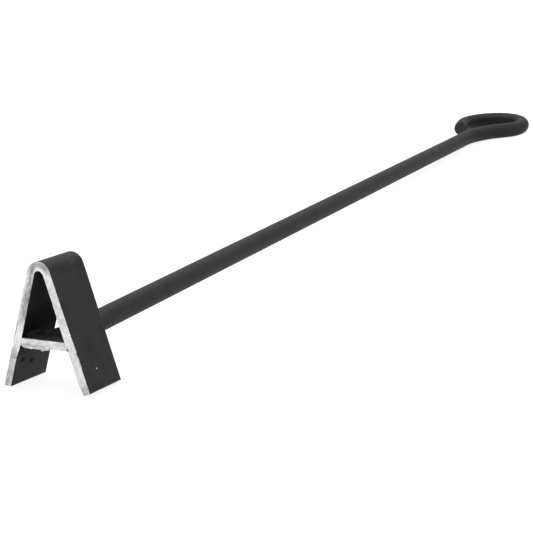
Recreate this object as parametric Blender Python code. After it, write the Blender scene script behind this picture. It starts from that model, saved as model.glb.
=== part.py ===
"""Hot branding iron with a capital-A head.

Three pieces of steel and the weld metal that joins them:

- a flat bar bent over a round apex into an upside-down V, standing on edge,
- a short flat crossbar between its legs,
- a round bar for a handle, butted to the crossbar's back edge, with its far
  end bent into an open hanging eye.

Frame: +X is the letter's right as the branding face is looked at, +Y runs from
the branding face along the handle, +Z is up. The iron lies as it does on a
bench: on the back corners of its two feet and on the underside of the eye. The
origin is the centre of the bounding box, on the surface that it lies on.

The head is drawn square in its own axes, with the branding face on y = 0 and
the feet on z = 0. An empty then leans the whole iron back until the eye touches
the surface.
"""
import math

import bmesh
import bpy
from mathutils import Matrix, Vector

MM = 0.001

# Head: one flat bar
LETTER_HEIGHT = 77.45 * MM
BAR_WIDTH = 31.8 * MM
BAR_THICKNESS = 5.4 * MM
APEX_RADIUS = 8.6 * MM
LEG_LEAN = math.radians(18.05)
APEX_STEPS = 18
EDGE_BREAK = 0.3 * MM
CREASE_ANGLE = math.radians(30)     # a drawn arc's own steps turn by less than this

# Crossbar
CROSSBAR_TOP = 30.85 * MM
CROSSBAR_THICKNESS = 5.0 * MM
CROSSBAR_DEPTH = 17.0 * MM

# Handle: one round bar
HANDLE_DIAMETER = 14.0 * MM
HANDLE_FACE_HEIGHT = 26.25 * MM     # where its axis would meet the branding face
HANDLE_RISE = math.radians(2.7)     # up from square to the branding face
HANDLE_SWING = math.radians(0.15)   # and to the left of it
STRAIGHT_LENGTH = 704.5 * MM        # branding face to the start of the neck bend
NECK_RADIUS = 70.0 * MM             # bend radii are to the bar's centre line
NECK_TURN = math.radians(52.0)      # to the right
EYE_SIDE_RADIUS = 28.0 * MM         # the eye's right side, bent a little tighter
EYE_SIDE_TURN = math.radians(108.0)
EYE_RADIUS = 32.1 * MM              # the rest of the eye
EYE_END_TURN = math.radians(137.0)
EYE_TAIL = 13.0 * MM                # left straight at the bar's end
EYE_PITCH = math.radians(2.1)       # the eye lifts out of the handle's line
EYE_ROLL = math.radians(1.5)        # and its right side dips
EYE_SWELL = 1.07                    # bending makes the bar this much taller
HANDLE_SIDES = 24
NECK_STEPS = 8
EYE_SIDE_STEPS = 18
EYE_END_STEPS = 24
END_CHAMFER = 0.9 * MM

# Weld beads
WELD_GAP = 0.3 * MM                 # between a bead and the steel it lies on
BEAD_LEG = 2.6 * MM
BEAD_FRONT = 4.0 * MM               # set back from the branding face
BEAD_BACK = 1.5 * MM                # and from the crossbar's back edge
RIPPLE_PITCH = 1.8 * MM
RIPPLE_DEPTH = 0.07                 # of the bead's size
BEAD_START = 0.6                    # size of a bead at its two ends, of its full size
BEAD_ARC_STEPS = 5
STATIONS_PER_RIPPLE = 4
BEAD_BULGE = 0.45                   # of the way from the chord back to the corner
HANDLE_BEAD_LEG = 3.6 * MM
HANDLE_BEAD_CROWN = 0.7 * MM        # stands proud of the handle's rim

# Run of weld left under the crossbar's front edge, with one drip
UNDER_RUN_LEFT = -15.5 * MM
UNDER_RUN_RIGHT = 4.0 * MM
UNDER_RUN_DEPTH = 3.4 * MM
UNDER_RUN_THICKNESS = 0.9 * MM
DRIP_X = -1.2 * MM
DRIP_HALF_WIDTH = 2.2 * MM
DRIP_EXTRA = 0.8 * MM

STEEPEST_LEAN = math.radians(10)    # the resting lean is sought from 0 up to this
LEAN_HALVINGS = 40

HANDLE_RADIUS = HANDLE_DIAMETER / 2
CROSSBAR_BOTTOM = CROSSBAR_TOP - CROSSBAR_THICKNESS


def clear_scene():
    for old in list(bpy.data.objects):
        bpy.data.objects.remove(old, do_unlink=True)


def make_material(name, colour, roughness, metallic):
    material = bpy.data.materials.new(name)
    material.use_nodes = True
    shader = material.node_tree.nodes["Principled BSDF"]
    shader.inputs["Base Color"].default_value = (*colour, 1.0)
    shader.inputs["Roughness"].default_value = roughness
    shader.inputs["Metallic"].default_value = metallic
    return material


def add_object(name, mesh_builder, material, parent):
    """Turn a bmesh into a named object, shaded smooth between its sharp edges."""
    bmesh.ops.recalc_face_normals(mesh_builder, faces=mesh_builder.faces)
    mesh = bpy.data.meshes.new(name)
    mesh_builder.to_mesh(mesh)
    mesh_builder.free()
    mesh.shade_smooth()
    mesh.set_sharp_from_angle(angle=CREASE_ANGLE)
    mesh.materials.append(material)
    piece = bpy.data.objects.new(name, mesh)
    piece.parent = parent
    bpy.context.scene.collection.objects.link(piece)
    return piece


def prism(outline, depth):
    """Extrude an outline of (x, z) points from y = 0 back to y = depth."""
    builder = bmesh.new()
    front = builder.faces.new([builder.verts.new((x, 0.0, z)) for x, z in outline])
    grown = bmesh.ops.extrude_face_region(builder, geom=[front], use_keep_orig=True)
    back = [item for item in grown["geom"] if isinstance(item, bmesh.types.BMVert)]
    bmesh.ops.translate(builder, vec=(0.0, depth, 0.0), verts=back)
    return builder


def break_edges(builder, width):
    """Bevel every edge that turns by more than a drawn arc's steps do."""
    builder.normal_update()
    bmesh.ops.recalc_face_normals(builder, faces=builder.faces)
    sharp = [edge for edge in builder.edges if edge.calc_face_angle() > CREASE_ANGLE]
    bmesh.ops.bevel(builder, geom=sharp, offset=width, segments=1, affect="EDGES")


def loft(sections):
    """Skin a row of equal-length point rings and close both ends."""
    builder = bmesh.new()
    rings = [[builder.verts.new(point) for point in section] for section in sections]
    count = len(rings[0])
    for near, far in zip(rings, rings[1:]):
        for i in range(count):
            j = (i + 1) % count
            builder.faces.new((near[i], near[j], far[j], far[i]))
    builder.faces.new(rings[0])
    builder.faces.new(reversed(rings[-1]))
    return builder


# ---------------------------------------------------------------- head

def leg_direction(side):
    """Unit (x, z) vector down the leg on side -1 (left) or +1 (right)."""
    return Vector((side * math.sin(LEG_LEAN), -math.cos(LEG_LEAN)))


def leg_outward(side):
    """Unit (x, z) vector out of the leg's outer face."""
    return Vector((side * math.cos(LEG_LEAN), math.sin(LEG_LEAN)))


def apex_arc(radius, from_side):
    """Points over the apex from one leg's tangent to the other's."""
    centre = Vector((0.0, LETTER_HEIGHT - APEX_RADIUS))
    sweep = math.pi - 2 * LEG_LEAN
    points = []
    for step in range(APEX_STEPS + 1):
        angle = LEG_LEAN + sweep * step / APEX_STEPS
        points.append(centre + radius * Vector((from_side * math.cos(angle), math.sin(angle))))
    return points


def foot_corners(side):
    """Outer and inner corner of a foot, the inner one on z = 0.

    The right foot is cut square to its leg, and the left one level."""
    inner_radius = APEX_RADIUS - BAR_THICKNESS
    tangent = Vector((0.0, LETTER_HEIGHT - APEX_RADIUS)) + inner_radius * leg_outward(side)
    inner = tangent + leg_direction(side) * tangent.y / math.cos(LEG_LEAN)
    outer = inner + BAR_THICKNESS * leg_outward(side)
    if side < 0:
        outer += leg_direction(side) * outer.y / math.cos(LEG_LEAN)
    return outer, inner


def leg_inner_x(height):
    """Half the clear width between the legs at a height."""
    return foot_corners(1)[1].x - height * math.tan(LEG_LEAN)


def head_bow(material, parent):
    left_outer, left_inner = foot_corners(-1)
    right_outer, right_inner = foot_corners(1)
    outline = [left_outer]
    outline += apex_arc(APEX_RADIUS, -1)
    outline += [right_outer, right_inner]
    outline += apex_arc(APEX_RADIUS - BAR_THICKNESS, 1)
    outline += [left_inner]
    builder = prism(outline, BAR_WIDTH)
    break_edges(builder, EDGE_BREAK)
    return add_object("head_bow", builder, material, parent)


def crossbar(material, parent):
    slack = WELD_GAP / math.cos(LEG_LEAN)
    wide = leg_inner_x(CROSSBAR_BOTTOM) - slack
    narrow = leg_inner_x(CROSSBAR_TOP) - slack
    outline = [
        (-wide, CROSSBAR_BOTTOM),
        (-narrow, CROSSBAR_TOP),
        (narrow, CROSSBAR_TOP),
        (wide, CROSSBAR_BOTTOM),
    ]
    builder = prism(outline, CROSSBAR_DEPTH)
    break_edges(builder, EDGE_BREAK)
    return add_object("crossbar", builder, material, parent)


# ---------------------------------------------------------------- handle

def handle_end_y():
    """Where the handle's axis starts, its tilted end face just clear of the crossbar."""
    overhang = (CROSSBAR_TOP - HANDLE_FACE_HEIGHT) * math.tan(HANDLE_RISE)
    return CROSSBAR_DEPTH + WELD_GAP + overhang


def bend(start, radius, turn, steps):
    """Points (u, v, heading) along an arc from a point and heading, + turning right."""
    u, v, heading = start
    side = math.copysign(radius, turn)
    centre_u = u - side * math.sin(heading)
    centre_v = v + side * math.cos(heading)
    points = []
    for step in range(1, steps + 1):
        now = heading + turn * step / steps
        points.append((centre_u + side * math.sin(now), centre_v - side * math.cos(now), now))
    return points


def flat_centre_line():
    """Centre line as (u, v, heading): u along the handle, v to its right."""
    line = [(handle_end_y() / math.cos(HANDLE_RISE), 0.0, 0.0), (STRAIGHT_LENGTH, 0.0, 0.0)]
    line += bend(line[-1], NECK_RADIUS, NECK_TURN, NECK_STEPS)
    line += bend(line[-1], EYE_SIDE_RADIUS, -EYE_SIDE_TURN, EYE_SIDE_STEPS)
    line += bend(line[-1], EYE_RADIUS, -EYE_END_TURN, EYE_END_STEPS)
    u, v, heading = line[-1]
    line.append((u + EYE_TAIL * math.cos(heading), v + EYE_TAIL * math.sin(heading), heading))
    return line


def handle_point(u, v, w):
    """Point in the handle's own axes, u along, v to the right of and w above the bend's plane."""
    lift = max(u - STRAIGHT_LENGTH, 0.0) * math.tan(EYE_PITCH)
    across = v * math.cos(EYE_ROLL) + w * math.sin(EYE_ROLL)
    above = w * math.cos(EYE_ROLL) - v * math.sin(EYE_ROLL)
    return Vector((across, u, above + lift))


def handle_ring(u, v, heading, radius, swell):
    """Section square to the centre line: a circle, made taller by the swell."""
    ring = []
    for side in range(HANDLE_SIDES):
        angle = 2 * math.pi * side / HANDLE_SIDES
        reach = radius * math.cos(angle)
        ring_u = u - reach * math.sin(heading)
        ring_v = v + reach * math.cos(heading)
        ring.append(handle_point(ring_u, ring_v, radius * swell * math.sin(angle)))
    return ring


def handle_rod(material, parent):
    sections = []
    for index, (u, v, heading) in enumerate(flat_centre_line()):
        into_neck = min(max(index - 1, 0) / NECK_STEPS, 1.0)
        swell = 1 + (EYE_SWELL - 1) * into_neck
        sections.append(handle_ring(u, v, heading, HANDLE_RADIUS, swell))
    tip_u = u + END_CHAMFER * math.cos(heading)
    tip_v = v + END_CHAMFER * math.sin(heading)
    sections.append(handle_ring(tip_u, tip_v, heading, HANDLE_RADIUS - END_CHAMFER, EYE_SWELL))
    handle = add_object("handle_rod", loft(sections), material, parent)
    handle.location = (0.0, 0.0, HANDLE_FACE_HEIGHT)
    handle.rotation_euler = (HANDLE_RISE, 0.0, HANDLE_SWING)
    return handle


# ---------------------------------------------------------------- welds

def bead_section(corner, along_a, along_b, leg_a, leg_b):
    """Fillet section: a corner, a leg along each face and a bulging free side."""
    end_a = corner + along_a * leg_a
    end_b = corner + along_b * leg_b
    bulge = ((end_a + end_b) / 2 - corner) * BEAD_BULGE
    section = [corner]
    for step in range(BEAD_ARC_STEPS + 1):
        part = step / BEAD_ARC_STEPS
        rise = math.sin(math.pi * part)
        section.append(end_a.lerp(end_b, part) + bulge * rise)
    return section


def ripple(distance, length):
    """Size of a bead along its run: even ripples, drawn in at both ends."""
    wave = 1 - RIPPLE_DEPTH * (1 - math.cos(2 * math.pi * distance / RIPPLE_PITCH))
    from_end = min(distance, length - distance) / RIPPLE_PITCH
    return wave * min(1.0, BEAD_START + (1 - BEAD_START) * from_end)


def bead_stations(length):
    count = round(length / RIPPLE_PITCH) * STATIONS_PER_RIPPLE
    return [length * step / count for step in range(count + 1)]


def gap_corner(corner, along_a, along_b):
    """The corner of two faces, moved in to stand WELD_GAP off both."""
    opening = along_a.angle(along_b)
    return corner + (along_a + along_b) * WELD_GAP / math.sin(opening)


def crossbar_bead(name, side, above, material, parent):
    """Bead in the corner of the crossbar and a leg, above or below the crossbar."""
    height = CROSSBAR_TOP if above else CROSSBAR_BOTTOM
    corner = Vector((side * leg_inner_x(height), 0.0, height))
    along_crossbar = Vector((-side, 0.0, 0.0))
    down_leg = leg_direction(side)
    along_leg = Vector((down_leg.x, 0.0, down_leg.y)) * (-1 if above else 1)
    corner = gap_corner(corner, along_crossbar, along_leg)
    front = BEAD_FRONT if above else UNDER_RUN_DEPTH + WELD_GAP
    length = CROSSBAR_DEPTH - BEAD_BACK - front
    sections = []
    for distance in bead_stations(length):
        leg = BEAD_LEG * ripple(distance, length)
        start = corner + Vector((0.0, front + distance, 0.0))
        sections.append(bead_section(start, along_crossbar, along_leg, leg, leg))
    return add_object(name, loft(sections), material, parent)


def handle_bead(name, above, material, parent):
    """Bead across the crossbar's face, against the handle's end face."""
    face = CROSSBAR_TOP if above else CROSSBAR_BOTTOM
    upward = 1 if above else -1
    axis_height = HANDLE_FACE_HEIGHT + handle_end_y() * math.tan(HANDLE_RISE)
    offset = upward * (face - axis_height)
    half_width = math.sqrt(HANDLE_RADIUS ** 2 - offset ** 2)
    lean = (HANDLE_RADIUS if above else 0.0) * math.sin(HANDLE_RISE)
    back = handle_end_y() - lean - WELD_GAP
    forward = Vector((0.0, -1.0, 0.0))
    outward = Vector((0.0, 0.0, upward))
    length = 2 * half_width
    sections = []
    for distance in bead_stations(length):
        x = distance - half_width
        rim = math.sqrt(max(HANDLE_RADIUS ** 2 - x ** 2, 0.0)) - offset
        size = ripple(distance, length)
        start = Vector((x, back, face + upward * WELD_GAP))
        up_the_rim = (min(rim, HANDLE_BEAD_LEG) + HANDLE_BEAD_CROWN) * size
        sections.append(bead_section(start, forward, outward, HANDLE_BEAD_LEG * size, up_the_rim))
    return add_object(name, loft(sections), material, parent)


def under_run(material, parent):
    """Low run of weld along the crossbar's lower front edge, ground off level with the face."""
    length = UNDER_RUN_RIGHT - UNDER_RUN_LEFT
    top = CROSSBAR_BOTTOM - WELD_GAP
    sections = []
    for distance in bead_stations(length):
        x = UNDER_RUN_LEFT + distance
        thickness = UNDER_RUN_THICKNESS * ripple(distance, length)
        off_drip = abs(x - DRIP_X) / DRIP_HALF_WIDTH
        if off_drip < 1:
            thickness += DRIP_EXTRA * math.cos(off_drip * math.pi / 2) ** 2
        section = [Vector((x, 0.0, top))]
        for step in range(BEAD_ARC_STEPS + 1):
            angle = math.pi / 2 * step / BEAD_ARC_STEPS
            y = UNDER_RUN_DEPTH * math.sin(angle)
            section.append(Vector((x, y, top - thickness * math.cos(angle))))
        sections.append(section)
    return add_object("weld_under_run", loft(sections), material, parent)


# ---------------------------------------------------------------- at rest

def leaned_points(piece, lean):
    """A piece's vertices once the iron is leaned back about the origin of the head."""
    turn = Matrix.Rotation(-lean, 4, "X") @ piece.matrix_basis
    return [turn @ vertex.co for vertex in piece.data.vertices]


def lowest(piece, lean):
    return min(point.z for point in leaned_points(piece, lean))


def resting_lean(head, handle):
    """Lean at which the feet and the eye's underside touch one level surface."""
    low = 0.0
    high = STEEPEST_LEAN
    for _ in range(LEAN_HALVINGS):
        middle = (low + high) / 2
        if lowest(handle, middle) > lowest(head, middle):
            low = middle
        else:
            high = middle
    return (low + high) / 2


def lay_down(iron, pieces, lean):
    """Lean the parent empty back and set the bounding box's base centre on the origin."""
    points = [point for piece in pieces for point in leaned_points(piece, lean)]
    low = Vector([min(point[axis] for point in points) for axis in range(3)])
    high = Vector([max(point[axis] for point in points) for axis in range(3)])
    iron.rotation_euler = (-lean, 0.0, 0.0)
    iron.location = (-(low.x + high.x) / 2, -(low.y + high.y) / 2, -low.z)


def main():
    clear_scene()
    black = make_material("black_paint", (0.035, 0.035, 0.037), 0.55, 0.0)
    weld = make_material("painted_weld", (0.030, 0.030, 0.032), 0.60, 0.0)
    iron = bpy.data.objects.new("iron_at_rest", None)
    bpy.context.scene.collection.objects.link(iron)

    head = head_bow(black, iron)
    handle = handle_rod(black, iron)
    pieces = [head, handle, crossbar(black, iron)]
    for side, side_name in ((-1, "left"), (1, "right")):
        for above, place in ((True, "upper"), (False, "lower")):
            name = f"weld_{side_name}_leg_{place}"
            pieces.append(crossbar_bead(name, side, above, weld, iron))
    pieces.append(handle_bead("weld_handle_upper", True, weld, iron))
    pieces.append(handle_bead("weld_handle_lower", False, weld, iron))
    pieces.append(under_run(weld, iron))
    lay_down(iron, pieces, resting_lean(head, handle))


main()
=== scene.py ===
import math

import bpy
import numpy as np
from mathutils import Matrix, Vector, noise


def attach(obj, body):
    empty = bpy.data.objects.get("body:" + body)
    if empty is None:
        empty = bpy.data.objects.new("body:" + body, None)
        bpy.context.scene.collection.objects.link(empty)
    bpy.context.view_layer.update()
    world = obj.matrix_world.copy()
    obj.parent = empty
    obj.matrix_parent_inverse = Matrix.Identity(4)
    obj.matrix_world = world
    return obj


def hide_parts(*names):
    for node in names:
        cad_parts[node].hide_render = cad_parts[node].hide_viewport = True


# Looks of the hot branding iron: painted black steel with a ground bare branding face.
#
# Every piece is drawn in the head's own axes, with the branding face on y = 0 and the feet on
# z = 0, and then leaned back onto the floor as the CAD model is.

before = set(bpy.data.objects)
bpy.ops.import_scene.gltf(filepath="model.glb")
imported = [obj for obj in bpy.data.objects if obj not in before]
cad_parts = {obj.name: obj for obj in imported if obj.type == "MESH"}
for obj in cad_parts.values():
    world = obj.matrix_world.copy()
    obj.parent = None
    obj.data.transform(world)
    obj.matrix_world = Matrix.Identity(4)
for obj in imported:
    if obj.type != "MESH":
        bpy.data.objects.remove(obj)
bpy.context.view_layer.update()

MM = 0.001

# ---------------------------------------------------------------- the CAD model's own sizes

LEAN = math.radians(4.37895)
HEAD_ORIGIN = Vector((-0.00442, -0.40962, 0.00241))

LETTER_HEIGHT = 77.45 * MM
BAR_WIDTH = 31.8 * MM
BAR_THICKNESS = 5.4 * MM
APEX_RADIUS = 8.6 * MM
LEG_LEAN = math.radians(18.05)
CROSSBAR_TOP = 30.85 * MM
CROSSBAR_BOTTOM = 25.85 * MM
CROSSBAR_DEPTH = 17.0 * MM

HANDLE_RADIUS = 7.0 * MM
HANDLE_FACE_HEIGHT = 26.25 * MM
HANDLE_RISE = math.radians(2.7)
HANDLE_SWING = math.radians(0.15)
STRAIGHT_LENGTH = 704.5 * MM
NECK_RADIUS = 70.0 * MM
NECK_TURN = math.radians(52.0)
EYE_SIDE_RADIUS = 28.0 * MM
EYE_SIDE_TURN = math.radians(108.0)
EYE_RADIUS = 32.1 * MM
EYE_END_TURN = math.radians(137.0)
EYE_TAIL = 13.0 * MM
EYE_PITCH = math.radians(2.1)
EYE_ROLL = math.radians(1.5)
EYE_SWELL = 1.07

HALF_THICK = BAR_THICKNESS / 2
MID_RADIUS = APEX_RADIUS - HALF_THICK
ARC_CENTRE = np.array((0.0, LETTER_HEIGHT - APEX_RADIUS))
ARC_LENGTH = MID_RADIUS * (math.pi - 2 * LEG_LEAN)
TANGENT_HEIGHT = ARC_CENTRE[1] + (APEX_RADIUS - BAR_THICKNESS) * math.sin(LEG_LEAN)
LEG_LENGTH = TANGENT_HEIGHT / math.cos(LEG_LEAN)
ARC_END = LEG_LENGTH + ARC_LENGTH
BOW_LENGTH = ARC_END + LEG_LENGTH
EYE_RUN = (NECK_RADIUS * NECK_TURN + EYE_SIDE_RADIUS * EYE_SIDE_TURN
           + EYE_RADIUS * EYE_END_TURN + EYE_TAIL)

# ---------------------------------------------------------------- what the photo adds to them

FACE_SET_BACK = 0.12 * MM           # ground face behind the burr's crest
CREASE_ANGLE = math.radians(38)     # faces that meet at more than this keep a sharp edge
BREAK_ANGLES = np.radians((22.5, 45.0, 67.5))   # steps round a broken corner


# ---------------------------------------------------------------- small helpers

def noise_at(points, scale, seed):
    """Smooth noise, about -1 to 1, with features about 1 / scale across."""
    shift = Vector((17.3 * seed, 5.1 * seed + 3.0, 9.7 * seed - 2.0))
    return np.array([noise.noise(Vector(p) * scale + shift) for p in points])


def smooth(low, high, value):
    """0 below low, 1 above high and a smooth step between. low may be above high."""
    t = np.clip((np.asarray(value, float) - low) / (high - low), 0.0, 1.0)
    return t * t * (3 - 2 * t)


def band(value, rise_from, rise_to, fall_from, fall_to):
    """1 between rise_to and fall_from, and 0 outside rise_from and fall_to."""
    return smooth(rise_from, rise_to, value) * smooth(fall_to, fall_from, value)


def spot(distance, radius):
    """1 at a spot's centre, falling smoothly to 0 at about twice the radius."""
    return np.exp(-(np.asarray(distance) / radius) ** 2)


def spaced(bands):
    """Positions along a line: bands are (end, step) pairs that start where the last one ended."""
    places = [bands[0][0]]
    for end, step in bands[1:]:
        count = max(1, round((end - places[-1]) / step))
        start = places[-1]
        places += [start + (end - start) * i / count for i in range(1, count + 1)]
    return np.array(places)


def rounding(from_end, length):
    """Share of full size of a bead that ends in a quarter circle of this length."""
    return math.sqrt(max(0.0, 1 - (1 - min(from_end / length, 1.0)) ** 2))


def skin(name, rings, values):
    """Mesh from equal-length closed rings, with a flat face on each end.

    values are named arrays, one row for each point, ring after ring."""
    rings = np.asarray(rings, float)
    n_rings, n_around = rings.shape[:2]
    faces = []
    for r in range(n_rings - 1):
        here, there = r * n_around, (r + 1) * n_around
        for i in range(n_around):
            j = (i + 1) % n_around
            faces.append((here + i, here + j, there + j, there + i))
    faces.append(tuple(reversed(range(n_around))))
    faces.append(tuple((n_rings - 1) * n_around + i for i in range(n_around)))
    mesh = bpy.data.meshes.new(name)
    mesh.from_pydata(rings.reshape(-1, 3).tolist(), [], faces)
    for key, data in values.items():
        data = np.asarray(data, np.float32)
        if data.ndim == 1:
            layer = mesh.attributes.new(key, "FLOAT", "POINT")
            layer.data.foreach_set("value", data)
        else:
            layer = mesh.attributes.new(key, "FLOAT_VECTOR", "POINT")
            layer.data.foreach_set("vector", data.reshape(-1))
    return mesh


def outward(mesh):
    """Turns the whole mesh inside out if its faces look inwards."""
    co = np.zeros(len(mesh.vertices) * 3)
    mesh.vertices.foreach_get("co", co)
    co = co.reshape(-1, 3)
    mesh.calc_loop_triangles()
    tri = np.zeros(len(mesh.loop_triangles) * 3, int)
    mesh.loop_triangles.foreach_get("vertices", tri)
    a, b, c = co[tri.reshape(-1, 3)].transpose(1, 0, 2)
    if np.einsum("ij,ij->i", a, np.cross(b, c)).sum() < 0:
        mesh.flip_normals()


def finish_piece(name, mesh, material, node, placing=Matrix.Identity(4)):
    """Puts a mesh drawn in the head's axes in its place and makes it stand for its CAD node."""
    leaned = Matrix.Translation(HEAD_ORIGIN) @ Matrix.Rotation(-LEAN, 4, "X")
    mesh.transform(leaned @ placing)
    mesh.update()
    outward(mesh)
    mesh.shade_smooth()
    mesh.set_sharp_from_angle(angle=CREASE_ANGLE)
    mesh.materials.append(material)
    piece = bpy.data.objects.new(name, mesh)
    bpy.context.scene.collection.objects.link(piece)
    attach(piece, "root")
    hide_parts(node)
    return piece


# ---------------------------------------------------------------- materials

PAINT_DARK = (0.0162, 0.0160, 0.0168)
PAINT_LIGHT = (0.0252, 0.0249, 0.0259)
# lighter paint: dust, worn and rubbed paint, and painted light low inside the legs and on the
# crossbar's top
PAINT_WORN_AND_LIT = (0.075, 0.072, 0.067)
# paint colour for painted shade in pits, on inner faces, under the crossbar and inside the eye, and
# for the darker eye
PAINT_SHADED = (0.0045, 0.0044, 0.0042)
PAINT_SPECULAR = 0.09
STEEL_DULL = (0.255, 0.255, 0.257)
STEEL_BRIGHT = (0.77, 0.77, 0.773)


class Nodes:
    """Short words for wiring one material."""

    def __init__(self, name):
        self.material = bpy.data.materials.new(name)
        self.material.use_nodes = True
        self.tree = self.material.node_tree
        self.shader = self.tree.nodes["Principled BSDF"]

    def put(self, kind, **settings):
        node = self.tree.nodes.new(kind)
        for key, value in settings.items():
            setattr(node, key, value)
        return node

    def feed(self, socket, value):
        if isinstance(value, bpy.types.NodeSocket):
            self.tree.links.new(value, socket)
        else:
            socket.default_value = value

    def attribute(self, name, output="Fac"):
        return self.put("ShaderNodeAttribute", attribute_name=name).outputs[output]

    def stretched(self, vector, along):
        """The place with its first axis, the one along the bar, scaled by along."""
        node = self.put("ShaderNodeMapping")
        self.feed(node.inputs["Vector"], vector)
        node.inputs["Scale"].default_value = (along, 1.0, 1.0)
        return node.outputs["Vector"]

    def noise(self, vector, scale, detail, roughness):
        node = self.put("ShaderNodeTexNoise")
        self.feed(node.inputs["Vector"], vector)
        node.inputs["Scale"].default_value = scale
        node.inputs["Detail"].default_value = detail
        node.inputs["Roughness"].default_value = roughness
        return node.outputs["Fac"]

    def pits(self, vector, scale):
        node = self.put("ShaderNodeTexVoronoi")
        self.feed(node.inputs["Vector"], vector)
        node.inputs["Scale"].default_value = scale
        return node.outputs["Distance"]

    def maths(self, operation, *values):
        node = self.put("ShaderNodeMath", operation=operation)
        for socket, value in zip(node.inputs, values):
            self.feed(socket, value)
        return node.outputs[0]

    def remap(self, value, low, high, to_low=0.0, to_high=1.0):
        node = self.put("ShaderNodeMapRange")
        node.clamp = True
        self.feed(node.inputs["Value"], value)
        node.inputs["From Min"].default_value = low
        node.inputs["From Max"].default_value = high
        node.inputs["To Min"].default_value = to_low
        node.inputs["To Max"].default_value = to_high
        return node.outputs["Result"]

    def blend(self, share, first, second):
        """Mix of two colours, each a socket or three numbers."""
        node = self.put("ShaderNodeMix", data_type="RGBA")
        self.feed(node.inputs[0], share)
        for socket, colour in ((node.inputs[6], first), (node.inputs[7], second)):
            self.feed(socket, (*colour, 1.0) if isinstance(colour, tuple) else colour)
        return node.outputs[2]

    def bump(self, height, strength, distance, under=None):
        node = self.put("ShaderNodeBump")
        self.feed(node.inputs["Height"], height)
        node.inputs["Strength"].default_value = strength
        node.inputs["Distance"].default_value = distance
        if under is not None:
            self.feed(node.inputs["Normal"], under)
        return node.outputs["Normal"]


def paint_looks(n, place):
    """Colour, roughness and normal of sprayed black over rolled steel.

    Reads the attributes worn, for thin and rubbed paint and, on the crossbar's top and low inside
    the legs, painted light, and grime, for painted shade and a darker eye."""
    cloud = n.noise(place, scale=90.0, detail=4.0, roughness=0.6)
    fine = n.noise(place, scale=1400.0, detail=3.0, roughness=0.6)
    speck = n.noise(place, scale=3800.0, detail=2.0, roughness=0.5)
    rolled = n.noise(n.stretched(place, along=0.06), scale=700.0, detail=3.0, roughness=0.6)
    shade = n.maths("ADD", n.remap(cloud, 0.30, 0.70), n.remap(rolled, 0.30, 0.70, -0.25, 0.25))
    colour = n.blend(n.remap(shade, 0.0, 1.0), PAINT_DARK, PAINT_LIGHT)
    dust = n.remap(speck, 0.66, 0.80, 0.0, 0.35)
    colour = n.blend(dust, colour, PAINT_WORN_AND_LIT)
    patchy = n.remap(n.noise(place, scale=700.0, detail=4.0, roughness=0.65), 0.42, 0.62)
    # paint lighter in patches: worn and rubbed paint, and painted light low inside the legs and on
    # the crossbar's top
    colour = n.blend(n.maths("MULTIPLY", n.attribute("wear_and_light"), patchy), colour, PAINT_WORN_AND_LIT)
    # paint darkened: painted shade in the punch pits, on the inner faces, under the crossbar and on
    # the eye's inner underside, and darker paint all over the eye
    colour = n.blend(n.attribute("shade_and_darkening"), colour, PAINT_SHADED)

    roughness = n.maths("ADD", n.remap(cloud, 0.3, 0.7, 0.50, 0.60),
                        n.remap(fine, 0.3, 0.7, -0.05, 0.05))
    scale_pits = n.remap(n.pits(place, scale=420.0), 0.0, 0.42)
    normal = n.bump(cloud, strength=0.25, distance=0.6 * MM)
    normal = n.bump(scale_pits, 0.12, 0.06 * MM, normal)
    normal = n.bump(rolled, 0.25, 0.05 * MM, normal)
    normal = n.bump(fine, 0.30, 0.05 * MM, normal)
    return colour, roughness, normal


def black_paint(name):
    """Satin black all over."""
    n = Nodes(name)
    looks = paint_looks(n, n.attribute("grain", "Vector"))
    for socket, value in zip(("Base Color", "Roughness", "Normal"), looks):
        n.feed(n.shader.inputs[socket], value)
    n.shader.inputs["Metallic"].default_value = 0.0
    n.shader.inputs["Specular IOR Level"].default_value = PAINT_SPECULAR
    return n.material


def ground_looks(n, place):
    """Colour, roughness and normal of ground steel. Reads tone, from 0 for dull to 1."""
    streak = n.noise(n.stretched(place, along=0.22), scale=1500.0, detail=4.0, roughness=0.65)
    broad = n.noise(n.stretched(place, along=0.60), scale=420.0, detail=4.0, roughness=0.65)
    scratch = n.noise(n.stretched(place, along=0.05), scale=4200.0, detail=2.0, roughness=0.5)
    tone = n.maths("ADD", n.attribute("tone"), n.remap(streak, 0.30, 0.70, -0.24, 0.24))
    tone = n.maths("ADD", tone, n.remap(broad, 0.30, 0.70, -0.26, 0.26))
    tone = n.remap(tone, 0.0, 1.0)
    colour = n.blend(tone, STEEL_DULL, STEEL_BRIGHT)
    roughness = n.maths("ADD", n.remap(tone, 0.0, 1.0, 0.56, 0.36),
                        n.remap(scratch, 0.3, 0.7, -0.06, 0.06))
    normal = n.bump(streak, strength=0.5, distance=0.10 * MM)
    normal = n.bump(scratch, 0.35, 0.03 * MM, normal)
    return colour, roughness, normal


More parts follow.
